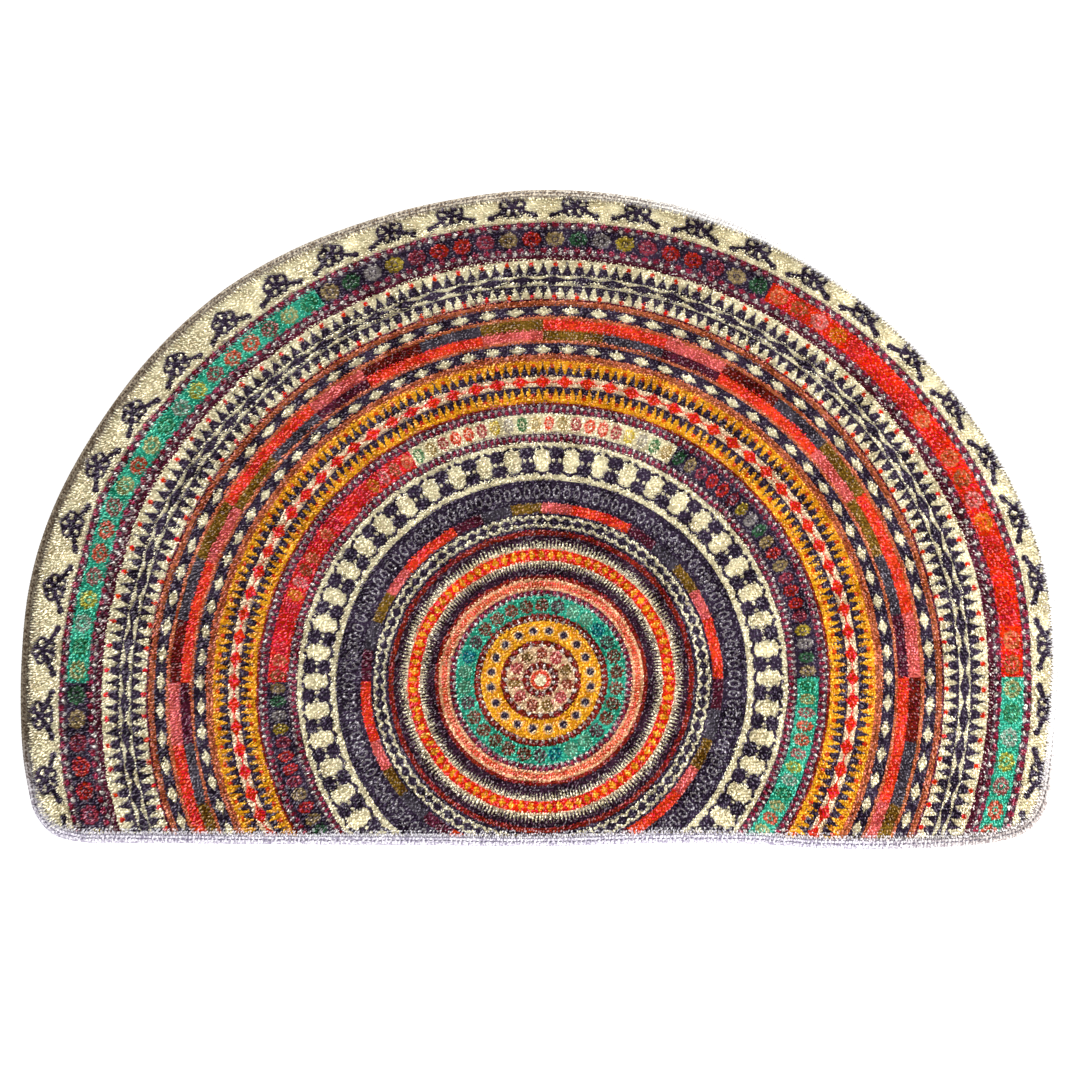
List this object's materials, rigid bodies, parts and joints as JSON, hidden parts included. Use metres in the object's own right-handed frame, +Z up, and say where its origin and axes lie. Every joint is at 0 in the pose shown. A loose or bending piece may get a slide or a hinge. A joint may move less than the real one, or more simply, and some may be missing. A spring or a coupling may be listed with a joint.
{
  "type": "half-moon rug",
  "caption": "Half-moon floor rug of printed short-pile cloth with an overlocked binding round its rim, lying flat with its straight edge to the front.",
  "frame": {"origin": "on the floor under the middle of the rug's bounding box", "axes": "+X along the straight edge to the right, +Y from the straight front edge towards the round back, +Z up out of the pile"},
  "size_m": [0.7496, 0.493, 0.009],
  "materials": {
    "printed_pile": "short cut pile printed with concentric folk borders in cream, navy, red, rust, yellow and teal",
    "binding_thread": "matt overlock thread, greige on the round side and off-white with blue-grey flecks at the front"
  },
  "bodies": {
    "root": {"rug_pile": "printed_pile", "edge_binding": "binding_thread"}
  },
  "joints": []
}
